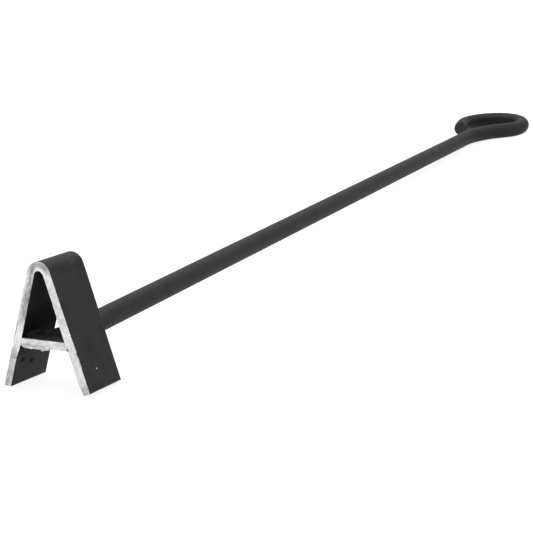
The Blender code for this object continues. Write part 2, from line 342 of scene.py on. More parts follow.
def painted_and_ground(name):
    """Black paint where the attribute bare is 0 and ground steel where it is 1."""
    n = Nodes(name)
    place = n.attribute("grain", "Vector")
    paint_colour, paint_rough, paint_normal = paint_looks(n, place)
    # paint rougher where shade is painted
    shaded_rough = n.remap(n.attribute("shade_and_darkening"), 0.0, 1.0, 0.0, 0.35)
    paint_rough = n.maths("ADD", paint_rough, shaded_rough)
    steel_colour, steel_rough, steel_normal = ground_looks(n, place)

    ragged = n.noise(place, scale=1100.0, detail=4.0, roughness=0.6)
    bare = n.maths("ADD", n.attribute("bare"), n.remap(ragged, 0.25, 0.75, -0.30, 0.30))
    bare = n.remap(bare, 0.46, 0.54)

    n.feed(n.shader.inputs["Base Color"], n.blend(bare, paint_colour, steel_colour))
    n.feed(n.shader.inputs["Metallic"], bare)
    rough_mix = n.put("ShaderNodeMix", data_type="FLOAT")
    n.feed(rough_mix.inputs[0], bare)
    n.feed(rough_mix.inputs[2], paint_rough)
    n.feed(rough_mix.inputs[3], steel_rough)
    n.feed(n.shader.inputs["Roughness"], rough_mix.outputs[0])
    normal_mix = n.put("ShaderNodeMix", data_type="VECTOR")
    n.feed(normal_mix.inputs[0], bare)
    n.feed(normal_mix.inputs[4], paint_normal)
    n.feed(normal_mix.inputs[5], steel_normal)
    n.feed(n.shader.inputs["Normal"], normal_mix.outputs[1])
    n.shader.inputs["Specular IOR Level"].default_value = PAINT_SPECULAR
    return n.material


# ---------------------------------------------------------------- head: bent flat bar

FRONT_BREAK = 0.25 * MM             # radius of the long corners at the branding face
BACK_BREAK = 0.40 * MM              # and at the back
FOOT_BREAK = 0.22 * MM
FOOT_CUT_REACH = 9 * MM             # the left foot's level cut fades out this far up the leg
BEND_FADE = 3 * MM                  # the bend's own marks fade in and out over twice this

BURR_SHARE = -0.86                  # the burr's crest, as a share of half the thickness
BURR_WIDTH = 0.16
APEX_RIM_DROP = 0.38 * MM           # outer edge of the ground face over the apex, left lower
FACE_WAVE = 0.05 * MM

LEFT_WRAP = 0.62 * MM               # width of the painted, rounded strip low on the left leg
RIGHT_WRAP = 0.40 * MM              # and high on the right one

LAP_HEIGHT = 34.6 * MM              # lap in the left leg's outer edge
LAP_LENGTH = 5.6 * MM
LAP_DEPTH = 0.5 * MM
NOTCH_HEIGHT = 23.0 * MM            # small notch in the right leg's outer edge
NOTCH_DEPTH = 0.25 * MM

STEEL_TONE = 0.74                   # the ground face's brightness before its patches

# Each: leg, -1 left or 1 right; face, -1 inner or 1 outer; height; distance behind the branding
# face; radius; depth
PUNCH_MARKS = (
    (-1, -1, 15.9 * MM, 5.8 * MM, 1.15 * MM, 0.55 * MM),
    (-1, -1, 12.8 * MM, 14.8 * MM, 1.15 * MM, 0.50 * MM),
    (1, 1, 8.3 * MM, 13.8 * MM, 1.0 * MM, 0.13 * MM),
)
# Leg, height, distance behind the branding face, radius, depth
PAINT_CHIP = (1, 11.5 * MM, 13.4 * MM, 0.55 * MM, 0.05 * MM)
SHADED_PIT_DEPTH = 0.4 * MM           # a pit this deep gets full painted shade inside

SHOULDER_DENT_SHARE = 0.80          # of the way round the apex
SHOULDER_DENT_BEHIND = 23.0 * MM    # behind the branding face
SHOULDER_DENT_DEPTH = 0.22 * MM

GROUND_WELD_PROUD = 0.38 * MM       # weld metal ground flush inside the right leg
GROUND_WELD_TOP = 48.6 * MM         # measured up the leg, as the crevice is
CREVICE_AT = 27.7 * MM
FOOT_DRESSED = 0.55 * MM            # taken off the right foot's inner corner

LEFT_TWIST = 1.2 * MM               # the bar's back edge to the right of its front, left leg
RIGHT_TWIST = 0.35 * MM             # and right leg
BAR_SHIFT = 0.2 * MM                # the whole bar to the left
APEX_BACK_RISE = 0.3 * MM


def bow_frame(s):
    """Middle of the bar's thickness and its outward direction, both (x, z), at s along it."""
    angle = np.clip(LEG_LEAN + (s - LEG_LENGTH) / MID_RADIUS, LEG_LEAN, math.pi - LEG_LEAN)
    normal = np.stack((-np.cos(angle), np.sin(angle)), -1)
    centre = ARC_CENTRE + MID_RADIUS * normal
    for side, beyond in ((-1, LEG_LENGTH - s), (1, s - ARC_END)):
        down = np.array((side * math.sin(LEG_LEAN), -math.cos(LEG_LEAN)))
        centre = centre + beyond.clip(0)[:, None] * down
    return centre, normal


def bar_section():
    """Points (a, y) round the bar: a through its thickness, + outward, y across its width."""
    front, back, half, width = FRONT_BREAK, BACK_BREAK, HALF_THICK, BAR_WIDTH
    section = [(a, 0.0) for a in np.linspace(-half + front, half - front, 18)]
    for q in BREAK_ANGLES:
        section.append((half - front + front * math.sin(q), front - front * math.cos(q)))
    to_back = [(width - 3 * MM, 0.8 * MM), (width - back, 0.45 * MM)]
    outer = spaced([(front, 0), (2.2 * MM, 0.3 * MM), (9 * MM, 0.7 * MM), (16.5 * MM, 0.35 * MM),
                    *to_back])
    section += [(half, y) for y in outer]
    for q in BREAK_ANGLES:
        section.append((half - back + back * math.cos(q), width - back + back * math.sin(q)))
    section += [(a, width) for a in np.linspace(half - back, -half + back, 12)]
    for q in BREAK_ANGLES:
        section.append((-half + back - back * math.sin(q), width - back + back * math.cos(q)))
    inner = spaced([(front, 0), (3.6 * MM, 0.35 * MM), (16.6 * MM, 0.3 * MM), *to_back])
    section += [(-half, y) for y in inner[::-1]]
    for q in BREAK_ANGLES:
        section.append((-half + front - front * math.cos(q), front - front * math.sin(q)))
    return np.array(section)


def bow_stations():
    """Places along the bar, closer together at the bend, the feet and the punch marks."""
    return spaced([(FOOT_BREAK, 0), (8 * MM, 0.8 * MM), (20 * MM, 0.32 * MM),
                   (LEG_LENGTH - 2 * MM, 0.7 * MM), (ARC_END + 2 * MM, 0.35 * MM),
                   (BOW_LENGTH - 24 * MM, 0.7 * MM), (BOW_LENGTH - 8 * MM, 0.4 * MM),
                   (BOW_LENGTH - FOOT_BREAK, 0.8 * MM)])


def leg_place(side, height):
    """s along the bar of a point at a height on a leg."""
    up = height / math.cos(LEG_LEAN)
    return up if side < 0 else BOW_LENGTH - up


class BarSkin:
    """The flat bar's skin: where each point is on the bar, and what the features do to it.

    s runs along the bar from the left foot to the right one, a through its thickness, +
    outward, and y across its width from the branding face. new_a and new_y are where the
    features move a point to. bare, tone, worn and grime are what the material reads.
    """

    def __init__(self):
        section = bar_section()
        rows = [(0.0, FOOT_BREAK), *((s, 0.0) for s in bow_stations()), (BOW_LENGTH, FOOT_BREAK)]
        self.rings = (len(rows), len(section), 3)
        s, inset = (np.repeat(column, len(section)) for column in zip(*rows))
        across = np.tile(section, (len(rows), 1))
        self.a = np.clip(across[:, 0], inset - HALF_THICK, HALF_THICK - inset)
        self.y = np.clip(across[:, 1], inset, BAR_WIDTH - inset)
        # The left foot is cut level, the right one square to its leg
        level = (self.a + HALF_THICK) * math.tan(LEG_LEAN)
        self.s = s - level * smooth(FOOT_CUT_REACH, 0, s)

        self.up_left = self.s
        self.up_right = BOW_LENGTH - self.s
        self.up = np.minimum(self.up_left, self.up_right)
        self.height = self.up * math.cos(LEG_LEAN)
        self.a_share = self.a / HALF_THICK
        self.in_bend = band(self.s, LEG_LENGTH - BEND_FADE, LEG_LENGTH + BEND_FADE,
                            ARC_END - BEND_FADE, ARC_END + BEND_FADE)
        self.on_front = self.y < 0.02 * MM + inset
        self.near_front = smooth(1.2 * MM, 0.0, self.y)
        self.on_outer = self.a > HALF_THICK * 0.6
        self.inner = smooth(-0.6, -0.9, self.a_share)
        self.grain = np.stack((self.s, self.a, self.y), -1)

        self.new_a = self.a.copy()
        self.new_y = self.y.copy()

    def noise(self, scale, seed, along=1.0):
        return noise_at(self.grain * np.array((along, 1.0, 1.0)), scale, seed)

    def uneven_flats(self):
        """Rolled steel's slight waves, and its back edge drawn in over the apex."""
        out = 0.05 * MM * self.noise(55.0, seed=1) * smooth(0, 3 * MM, self.y)
        out += 0.02 * MM * self.noise(420.0, seed=2) * smooth(0, 1 * MM, self.y)
        out -= 0.05 * MM * smooth(0, 3 * MM, self.y)
        outward_sign = np.where(self.a > 0, 1.0, -1.0)
        self.new_a += outward_sign * out * smooth(0.5, 1.0, np.abs(self.a_share))

        near_back = smooth(BAR_WIDTH - 1.5 * MM, BAR_WIDTH, self.y)
        self.new_y -= near_back * (0.04 * MM + 0.06 * MM * self.noise(160.0, seed=3))
        self.new_y -= self.in_bend * near_back * smooth(-0.2, 1.0, self.a_share) * 0.15 * MM

    def ground_face(self):
        """The branding face: a burr along the inner edge up high, and a low outer edge there."""
        high = smooth(42 * MM, 60 * MM, self.up)
        self.burr = spot(self.a_share - BURR_SHARE, BURR_WIDTH) * high
        low_rim = self.in_bend * smooth(0.05, 1.0, self.a_share) * APEX_RIM_DROP
        wave = np.clip(FACE_WAVE * self.noise(330.0, seed=4, along=0.5), -FACE_WAVE, None)
        self.new_y += self.near_front * (FACE_SET_BACK * (1 - self.burr) + low_rim + wave)

    def worn_inner_corners(self):
        """Inner corner rounded, and so still painted, low on the left leg, high on the right."""
        low_left = smooth(25 * MM, 19 * MM, self.up_left)
        high_right = smooth(52 * MM, 57 * MM, self.up_right)
        high_right *= smooth(ARC_END - BEND_FADE, ARC_END, self.s)
        width = LEFT_WRAP * low_left + RIGHT_WRAP * high_right
        from_inner = self.a + HALF_THICK
        self.in_wrap = smooth(width + 0.06 * MM, width - 0.06 * MM, from_inner)
        self.in_wrap *= width > 0.1 * MM
        self.new_y += self.near_front * self.in_wrap * 0.8 * (width - from_inner).clip(0)

    def bare_where_ground(self):
        """The mask of bare steel: the ground face, and a little way over its corners."""
        self.bare = self.on_front * (1.0 - 0.95 * self.in_wrap)
        over_corner = smooth(0.75 * MM, 0.05 * MM, self.y) * (1 - self.in_wrap)
        self.bare = np.maximum(self.bare, 0.62 * over_corner)
        ragged = band(self.up_right, 14 * MM, 17 * MM, 31 * MM, 36 * MM) * (self.a > 0)
        ragged *= smooth(1.5 * MM, 0.3 * MM, self.y)
        self.bare = np.maximum(self.bare, 0.60 * ragged)
        rim_paint = self.in_bend * smooth(0.72, 1.0, self.a_share) * 0.35
        self.bare -= self.on_front * rim_paint

    def lap_and_notch(self):
        """A lap in the left leg's outer edge, left dark, and a notch in the right leg's."""
        lap = spot(self.s - leg_place(-1, LAP_HEIGHT), LAP_LENGTH)
        lap *= spot(self.a - 2.15 * MM, 0.22 * MM) * self.near_front
        lap = np.where(lap > 0.25, np.minimum(1.0, lap * 1.6), 0.0)
        self.new_y += LAP_DEPTH * lap
        self.bare -= 0.75 * lap
        notch = spot(self.s - leg_place(1, NOTCH_HEIGHT), 0.5 * MM)
        notch *= smooth(1.9 * MM, 2.6 * MM, self.a) * self.near_front
        self.new_y += NOTCH_DEPTH * notch
        self.bare -= 0.6 * notch

    def steel_patches(self):
        """Brightness of the bare steel, patch by patch."""
        inner_edge = smooth(-0.72, -0.92, self.a_share)
        apex = self.in_bend * smooth(-0.40, -0.26, self.a_share)
        left_high = band(self.s, 38 * MM, 50 * MM, LEG_LENGTH, LEG_LENGTH + 6 * MM)
        left_high *= smooth(0.75, -0.15, self.a_share)
        left_middle = band(self.s, 26 * MM, 31 * MM, 37 * MM, 43 * MM)
        left_low = smooth(26 * MM, 20 * MM, self.up_left)
        right_high = smooth(ARC_END, BOW_LENGTH - 58 * MM, self.s)
        right_high *= smooth(33 * MM, 40 * MM, self.up_right)
        right_foot = smooth(6 * MM, 3 * MM, self.up_right)
        right_low_edge = inner_edge * smooth(25 * MM, 21 * MM, self.up_right)
        bright_burr = self.burr * smooth(LEG_LENGTH - 9 * MM, LEG_LENGTH - 3 * MM, self.s)
        self.tone = (STEEL_TONE - 0.46 * apex - 0.46 * left_high + 0.10 * left_middle
                     - 0.36 * left_low - 0.12 * right_high - 0.42 * right_foot
                     - 0.38 * right_low_edge + 0.45 * bright_burr
                     + 0.24 * self.noise(260.0, seed=5, along=0.4))

    def wear_light_and_shade(self):
        """Paint thin at the back corners and the feet, and lighter low inside toward the back as
        painted light; painted shade on the inner faces, mostly above the crossbar and fainter under
        it.
        """
        back_corner = smooth(0.9 * MM, 0.1 * MM, BAR_WIDTH - self.y)
        back_corner *= smooth(0.6, 0.95, np.abs(self.a_share))
        foot = smooth(0.7 * MM, 0.05 * MM, self.up)
        # painted light: paint lighter low on the inner faces, toward the back
        lit_inside_low = self.inner * smooth(10 * MM, 26 * MM, self.y)
        lit_inside_low *= smooth(24 * MM, 14 * MM, self.height)
        self.wear_and_light = np.maximum(np.maximum(back_corner, foot), 0.28 * lit_inside_low)
        # painted shade on the inner faces above the crossbar, and fainter just under it toward the
        # front
        above_bar = band(self.height, CROSSBAR_BOTTOM, CROSSBAR_TOP, 40 * MM, 60 * MM)
        under_bar = smooth(16 * MM, 25 * MM, self.height) * smooth(26 * MM, 10 * MM, self.y)
        self.shade_and_darkening = self.inner * np.maximum(0.90 * above_bar, 0.45 * under_bar)

    def far_from(self, side, height, behind):
        """Distance over the bar's face from a point on a leg."""
        return np.hypot(self.s - leg_place(side, height), self.y - behind)

    def punch_marks(self):
        """Two punch dimples inside the left leg, and a faint one outside the right, with painted
        shade inside them, full in the two deep ones.
        """
        ragged = 0.6 * MM * self.noise(420.0, seed=6)
        for side, face, height, behind, radius, depth in PUNCH_MARKS:
            far = self.far_from(side, height, behind)
            on_face = self.a * face > HALF_THICK * 0.6
            rim = spot(far - 1.9 * radius, 0.6 * radius) * on_face
            self.new_a += face * (0.08 * MM * rim - depth * spot(far, radius) * on_face)
            self.wear_and_light += 0.25 * rim
            # painted shade inside the pit
            dark = spot(far + ragged, 1.6 * radius) * on_face
            self.shade_and_darkening = np.maximum(self.shade_and_darkening, dark * min(1.0, depth / SHADED_PIT_DEPTH))

    def paint_chip(self):
        """A chip in the paint outside the right leg, down to bare steel."""
        side, height, behind, radius, depth = PAINT_CHIP
        chip = spot(self.far_from(side, height, behind), radius) * self.on_outer
        self.bare = np.maximum(self.bare, 0.95 * chip)
        self.new_a -= depth * chip

    def shoulder_dent(self):
        """Shallow dent in the right shoulder, rubbed round its rim."""
        along = self.s - LEG_LENGTH - SHOULDER_DENT_SHARE * ARC_LENGTH
        far = np.hypot(along, self.y - SHOULDER_DENT_BEHIND)
        self.new_a -= SHOULDER_DENT_DEPTH * spot(far, 1.4 * MM) * self.on_outer
        self.wear_and_light += 0.5 * spot(far - 1.6 * MM, 0.8 * MM) * self.on_outer

    def ground_weld(self):
        """Weld metal ground flush inside the right leg, with a crevice under the crossbar."""
        toward_inner = smooth(-0.2, -1.0, self.a_share)
        spread = band(self.up_right, 20 * MM, 27 * MM, GROUND_WELD_TOP - 1 * MM, GROUND_WELD_TOP)
        crevice = spot(self.up_right - CREVICE_AT, 1.1 * MM)
        self.bare -= 1.3 * crevice * smooth(-0.72, -0.92, self.a_share) * self.near_front
        proud = spread * (1 - crevice) * smooth(5 * MM, 1 * MM, self.y)
        self.new_a -= GROUND_WELD_PROUD * proud * toward_inner
        top_step = spot(self.up_right - GROUND_WELD_TOP, 0.7 * MM)
        self.tone -= 0.5 * top_step * smooth(-0.55, -0.9, self.a_share)
        dressed = smooth(9 * MM, 1 * MM, self.up_right) * smooth(6 * MM, 1 * MM, self.y)
        self.new_a += FOOT_DRESSED * dressed * toward_inner

    def bent_to_shape(self):
        """The points bent into the A. The bar isn't quite square to its ground edge."""
        centre, normal = bow_frame(self.s)
        xz = centre + self.new_a[:, None] * normal
        back = self.y / BAR_WIDTH
        on_right = smooth(ARC_END, BOW_LENGTH, self.s)
        xz[:, 0] += (LEFT_TWIST + (RIGHT_TWIST - LEFT_TWIST) * on_right) * back - BAR_SHIFT
        xz[:, 1] += APEX_BACK_RISE * self.in_bend * back
        return np.stack((xz[:, 0], self.new_y, xz[:, 1]), -1).reshape(self.rings)


def head_piece(material):
    bar = BarSkin()
    bar.uneven_flats()
    bar.ground_face()
    bar.worn_inner_corners()
    bar.bare_where_ground()
    bar.lap_and_notch()
    bar.steel_patches()
    bar.wear_light_and_shade()
    bar.punch_marks()
    bar.paint_chip()
    bar.shoulder_dent()
    bar.ground_weld()
    values = {"grain": bar.grain, "bare": bar.bare, "tone": bar.tone,
              "wear_and_light": np.clip(bar.wear_and_light, 0, 1), "shade_and_darkening": bar.shade_and_darkening}
    mesh = skin("head_bow_steel", bar.bent_to_shape(), values)
    return finish_piece("head_bow_steel", mesh, material, "head_bow")


# ---------------------------------------------------------------- crossbar

CROSSBAR_BACK_BREAK = 0.5 * MM
CROSSBAR_INTO_LEG = 0.90 * MM       # each end runs into its leg, as welded steel does
CROSSBAR_SHIFT = 0.1 * MM           # to the left
CREVICE_RADIUS = 0.62 * MM
CREVICE_DEPTH = 1.4 * MM


def leg_inner_x(height):
    """How far the legs' inner faces are from the letter's middle at a height."""
    at_tangent = (APEX_RADIUS - BAR_THICKNESS) * math.cos(LEG_LEAN)
    return at_tangent + TANGENT_HEIGHT * math.tan(LEG_LEAN) - height * math.tan(LEG_LEAN)


def crossbar_section():
    """Points (y, z) round the crossbar."""
    front, back = FRONT_BREAK, CROSSBAR_BACK_BREAK
    low, high, deep = CROSSBAR_BOTTOM, CROSSBAR_TOP, CROSSBAR_DEPTH
    around = [(q, math.sin(q), math.cos(q)) for q in BREAK_ANGLES]
    top = spaced([(front, 0), (2.4 * MM, 0.35 * MM), (deep - back, 0.7 * MM)])
    section = [(0.0, z) for z in np.linspace(low + front, high - front, 15)]
    section += [(front - front * cos, high - front + front * sin) for _, sin, cos in around]
    section += [(y, high) for y in top]
    section += [(deep - back + back * sin, high - back + back * cos) for _, sin, cos in around]
    section += [(deep, z) for z in np.linspace(high - back, low + back, 8)]
    section += [(deep - back + back * cos, low + back - back * sin) for _, sin, cos in around]
    section += [(y, low) for y in top[::-1]]
    section += [(front - front * sin, low + front - front * cos) for _, sin, cos in around]
    return np.array(section)


def crossbar_piece(material):
    section = crossbar_section()
    shares = spaced([(-1.0, 0), (1.0, 0.018)])
    y = np.tile(section[:, 0], len(shares))
    z = np.tile(section[:, 1], len(shares))
    x = np.repeat(shares, len(section)) * (leg_inner_x(z) + CROSSBAR_INTO_LEG) - CROSSBAR_SHIFT
    grain = np.stack((x, y, z), -1)

    # Both front edges wander, and the faces are a little uneven
    near_front = smooth(2.2 * MM, 0.0, y)
    toward_top = smooth(CROSSBAR_BOTTOM, CROSSBAR_TOP, z)
    along_only = grain * np.array((1, 0, 0))
    low_wave = 0.28 * MM * noise_at(along_only, 300.0, 11) * (1 - toward_top)
    high_wave = 0.20 * MM * noise_at(along_only, 240.0, 12) * toward_top
    new_z = z + near_front * (low_wave + high_wave) + 0.05 * MM * noise_at(grain, 90.0, 13)
    face = np.clip(FACE_SET_BACK + 0.04 * MM * noise_at(grain, 300.0, 14), 0.0, None)
    back = smooth(CROSSBAR_DEPTH - 1.5 * MM, CROSSBAR_DEPTH, y)
    new_y = y + smooth(1.0 * MM, 0.0, y) * face
    new_y -= back * 0.06 * MM * (1 + noise_at(grain, 150.0, 15))

    # Lower right corner, where the weld stopped short and left a dark crevice
    past_corner = x - leg_inner_x(CROSSBAR_BOTTOM) + 0.75 * MM
    over_corner = z - CROSSBAR_BOTTOM - 0.6 * MM
    crevice = spot(np.hypot(past_corner * 1.45, over_corner * 0.55), CREVICE_RADIUS) * near_front
    new_y += CREVICE_DEPTH * crevice

    bare = np.where(y < 0.02 * MM, 1.0, 0.55 * smooth(0.6 * MM, 0.05 * MM, y)) - 1.5 * crevice
    dull_low_left = smooth(3 * MM, -3 * MM, x) * smooth(28.5 * MM, 27.0 * MM, z)
    tone = 0.68 + 0.18 * noise_at(grain * np.array((0.5, 1, 1)), 300.0, 16) - 0.35 * dull_low_left
    from_flat = np.minimum(np.abs(z - CROSSBAR_TOP), np.abs(z - CROSSBAR_BOTTOM))
    back_corner = smooth(0.9 * MM, 0.2 * MM, CROSSBAR_DEPTH - y)
    back_corner *= smooth(1.0 * MM, 0.3 * MM, from_flat)
    # painted light with some rubbed paint: paint lighter in patches on the crossbar's top toward
    # the front, more to the right
    lit_and_rubbed_top = (z > CROSSBAR_TOP - 0.1 * MM) * smooth(15 * MM, 7 * MM, y)
    lit_and_rubbed_top = lit_and_rubbed_top * (0.35 + 0.25 * smooth(-8 * MM, 10 * MM, x))
    values = {"grain": grain, "bare": bare, "tone": tone,
              "wear_and_light": np.maximum(back_corner, lit_and_rubbed_top)}
    points = np.stack((x, new_y, new_z), -1).reshape(len(shares), len(section), 3)
    mesh = skin("crossbar_steel", points, values)
    return finish_piece("crossbar_steel", mesh, material, "crossbar")


# ---------------------------------------------------------------- welds

WELD_WORN = 0.15                    # how thin the paint is on the beads, 0 to 1
RIPPLE_PITCH = 1.35 * MM
BEAD_STEPS = 16                     # across a bead

BEAD_LEG = 2.6 * MM
BEAD_SUNK = 0.50 * MM               # into the steel that it joins
BEAD_FRONT_ABOVE = 4.0 * MM         # behind the branding face
BEAD_FRONT_BELOW = 3.2 * MM
BEAD_BACK = 1.2 * MM                # in front of the crossbar's back edge

RIM_BEAD_FORWARD = 3.7 * MM         # over the crossbar, from where the handle meets it
RIM_BEAD_BEHIND = 1.5 * MM          # and over the handle
RIM_BEAD_CROWN_ABOVE = 1.55 * MM
RIM_BEAD_CROWN_BELOW = 0.60 * MM

UNDER_RUN_LEFT = -15.6 * MM
UNDER_RUN_RIGHT = 4.2 * MM
UNDER_RUN_DEPTH = 3.3 * MM
UNDER_RUN_HANG = 0.80 * MM          # below the crossbar
UNDER_RUN_STEPS = 14
DRIP_X, DRIP_HANG, DRIP_WIDTH = -1.2 * MM, 0.80 * MM, 1.25 * MM
LUMP_X, LUMP_HANG, LUMP_WIDTH = -9.5 * MM, 0.25 * MM, 1.6 * MM


def bead_values(points):
    flat = points.reshape(-1, 3)
    return {"grain": flat, "wear_and_light": np.full(len(flat), WELD_WORN)}


def stack_ripple(distance, across, seed):
    """Height of a bead's overlapping crescents, 0 to 1: across is -1 and 1 at its two toes."""
    bowed = distance + 0.55 * RIPPLE_PITCH * across ** 2
    wobble = 0.22 * RIPPLE_PITCH * noise.noise(Vector((distance * 260.0, seed, 0.5)))
    phase = ((bowed + wobble) / RIPPLE_PITCH) % 1.0
    return 1 - phase ** 1.6


def corner_bead(name, node, side, above, material):
    """Rippled fillet in the corner of the crossbar and a leg."""
    height = CROSSBAR_TOP if above else CROSSBAR_BOTTOM
    up = 1 if above else -1
    along_bar = np.array((-side, 0.0, 0.0))
    along_leg = up * np.array((-side * math.sin(LEG_LEAN), 0.0, math.cos(LEG_LEAN)))
    free = (along_bar + along_leg) / np.linalg.norm(along_bar + along_leg)
    corner = np.array((side * leg_inner_x(height), 0.0, height))
    front = BEAD_FRONT_ABOVE if above else BEAD_FRONT_BELOW
    length = CROSSBAR_DEPTH - BEAD_BACK - front
    seed = 3.0 * side + (1.0 if above else 2.0)
    rings = []
    for distance in np.linspace(0, length, round(length / (0.16 * MM)) + 1):
        full = rounding(min(distance, length - distance), 1.8 * MM)
        size = BEAD_LEG * (0.30 + 0.70 * full)
        size *= 1 + 0.10 * noise.noise(Vector((distance * 300, seed, 0)))
        ring = [corner - (along_bar + along_leg) * BEAD_SUNK]
        for share in np.linspace(0, 1, BEAD_STEPS + 1):
            toe_bar = corner + along_bar * size - along_leg * BEAD_SUNK * (1 - share) * 0.6
            toe_leg = corner + along_leg * size - along_bar * BEAD_SUNK * share * 0.6
            crown = math.sin(math.pi * share)
            ripple = 0.16 * MM * full * stack_ripple(distance, 2 * share - 1, seed)
            swell = size * 0.20 * crown + ripple * max(crown, 0.0) ** 0.5
            ring.append(toe_bar * (1 - share) + toe_leg * share + free * swell)
        rings.append([point + np.array((0.0, front + distance, 0.0)) for point in ring])
    rings = np.array(rings)
    mesh = skin(name, rings, bead_values(rings))
    return finish_piece(name, mesh, material, node)


def rim_bead(name, node, above, material):
    """Weld over the step between the crossbar's face and the handle's rim."""
    up = 1.0 if above else -1.0
    face = CROSSBAR_TOP if above else CROSSBAR_BOTTOM
    most = RIM_BEAD_CROWN_ABOVE if above else RIM_BEAD_CROWN_BELOW
    seed = 7.0 if above else 9.0
    butt = CROSSBAR_DEPTH + 0.1 * MM
    offset = up * (face - HANDLE_FACE_HEIGHT - butt * math.tan(HANDLE_RISE))
    half_width = math.sqrt(HANDLE_RADIUS ** 2 - offset ** 2) + 0.2 * MM
    rings = []
    for x in np.linspace(-half_width, half_width, round(2 * half_width / (0.17 * MM)) + 1):
        rise = max(math.sqrt(max(HANDLE_RADIUS ** 2 - x ** 2, 0.0)) - offset, 0.0)
        full = rounding(half_width - abs(x), 1.6 * MM)
        forward = RIM_BEAD_FORWARD * (0.25 + 0.75 * full)
        behind = RIM_BEAD_BEHIND * (0.15 + 0.85 * full)
        toe_front = np.array((x, butt - forward, face - up * 0.2 * MM))
        toe_back = np.array((x, butt + behind, face + up * (rise - 0.25 * MM)))
        ring = [np.array((x, butt, face - up * 0.4 * MM))]
        for share in np.linspace(0, 1, BEAD_STEPS + 1):
            ripple = 0.17 * MM * stack_ripple(x + half_width, 2 * share - 1, seed)
            swell = (most + 0.14 * min(rise, 4 * MM) + ripple) * full
            swell *= max(math.sin(math.pi * share), 0.0) ** 0.6
            chord = toe_front * (1 - share) + toe_back * share
            ring.append(chord + np.array((0.0, -0.45, up * 0.89)) * swell)
        rings.append(ring)
    rings = np.array(rings)
    mesh = skin(name, rings, bead_values(rings))
    return finish_piece(name, mesh, material, node)


def under_run_piece(material):
    """Low run of weld along the crossbar's lower front edge, ground off with the face."""
    buried = CROSSBAR_BOTTOM + 0.8 * MM
    rings, bare = [], []
    for x in np.linspace(UNDER_RUN_LEFT, UNDER_RUN_RIGHT, 130):
        along = x - UNDER_RUN_LEFT
        full = rounding(min(along, UNDER_RUN_RIGHT - x), 3.2 * MM)
        lumps = 0.20 * MM * noise.noise(Vector((x * 420.0, 0.3, 4.4)))
        hang = (UNDER_RUN_HANG + lumps) * full + 0.05 * MM
        hang += DRIP_HANG * spot(x - DRIP_X, DRIP_WIDTH) + LUMP_HANG * spot(x - LUMP_X, LUMP_WIDTH)
        ripple = 0.10 * MM * stack_ripple(along, 0.0, 5.0) * full
        ring = [(x, FACE_SET_BACK, buried)]
        bare.append(1.0)
        for step, angle in enumerate(np.linspace(0, math.pi / 2, UNDER_RUN_STEPS + 1)):
            behind = (UNDER_RUN_DEPTH + ripple) * math.sin(angle) ** 1.15
            below = (hang + 0.3 * MM + ripple * 0.5) * max(math.cos(angle), 0.0) ** 0.8
            ring.append((x, FACE_SET_BACK + behind, CROSSBAR_BOTTOM + 0.3 * MM - below))
            bare.append(1.0 if step == 0 else 0.62 * math.exp(-behind / (0.35 * MM)))
        ring.append((x, UNDER_RUN_DEPTH * 0.8, buried))
        bare.append(0.0)
        rings.append(ring)
    rings = np.array(rings)
    values = bead_values(rings)
    values["bare"] = np.array(bare)
    values["tone"] = 0.5 + 0.25 * noise_at(values["grain"], 300.0, 31)
    mesh = skin("weld_under_run_bead", rings, values)
    return finish_piece("weld_under_run_bead", mesh, material, "weld_under_run")


# ---------------------------------------------------------------- handle

HANDLE_SIDES = 44
HANDLE_START = CROSSBAR_DEPTH + 0.15 * MM
STRAIGHT_EXTRA = 0.10 * MM          # the straight's radius is this much over its CAD node's
EYE_LESS = 0.17 * MM                # and the eye's this much under the straight's
EYE_FLATTENING = 0.12 * MM          # hammer flats inside the eye
EYE_FAR_RISE = 0.6 * MM             # the eye's far side springs up
EYE_DARKENING = 0.20                     # paint darker all over the eye, fading out along the straight
EYE_INSIDE_SHADE = 0.80              # painted shade on the eye's inner underside
# Rings beyond the centre line's end: how far, share of the radius
END_RINGS = ((0.30 * MM, 0.985), (0.62 * MM, 0.945), (0.82 * MM, 0.880), (0.90 * MM, 0.80),
             (0.92 * MM, 0.55), (0.90 * MM, 0.28))


def arc_points(start, radius, turn, step):
    """Points (u, v, heading) along an arc, + turning right."""
    u, v, heading = start
    side = math.copysign(radius, turn)
    centre_u = u - side * math.sin(heading)
    centre_v = v + side * math.cos(heading)
    count = max(2, round(radius * abs(turn) / step))
    found = []
    for i in range(1, count + 1):
        now = heading + turn * i / count
        found.append((centre_u + side * math.sin(now), centre_v - side * math.cos(now), now))
    return found


def straight_on(start, ahead):
    u, v, heading = start
    return u + ahead * math.cos(heading), v + ahead * math.sin(heading), heading


def handle_line():
    """Centre line (u, v, heading): u along the handle, v to its right."""
    straight = spaced([(HANDLE_START, 0), (HANDLE_START + 8 * MM, 0.7 * MM),
                       (STRAIGHT_LENGTH, 2.6 * MM)])
    line = [(u, 0.0, 0.0) for u in straight]
    line += arc_points(line[-1], NECK_RADIUS, NECK_TURN, 1.6 * MM)
    line += arc_points(line[-1], EYE_SIDE_RADIUS, -EYE_SIDE_TURN, 1.2 * MM)
    line += arc_points(line[-1], EYE_RADIUS, -EYE_END_TURN, 1.2 * MM)
    return line + [straight_on(line[-1], ahead) for ahead in np.linspace(0.0, EYE_TAIL, 9)[1:]]


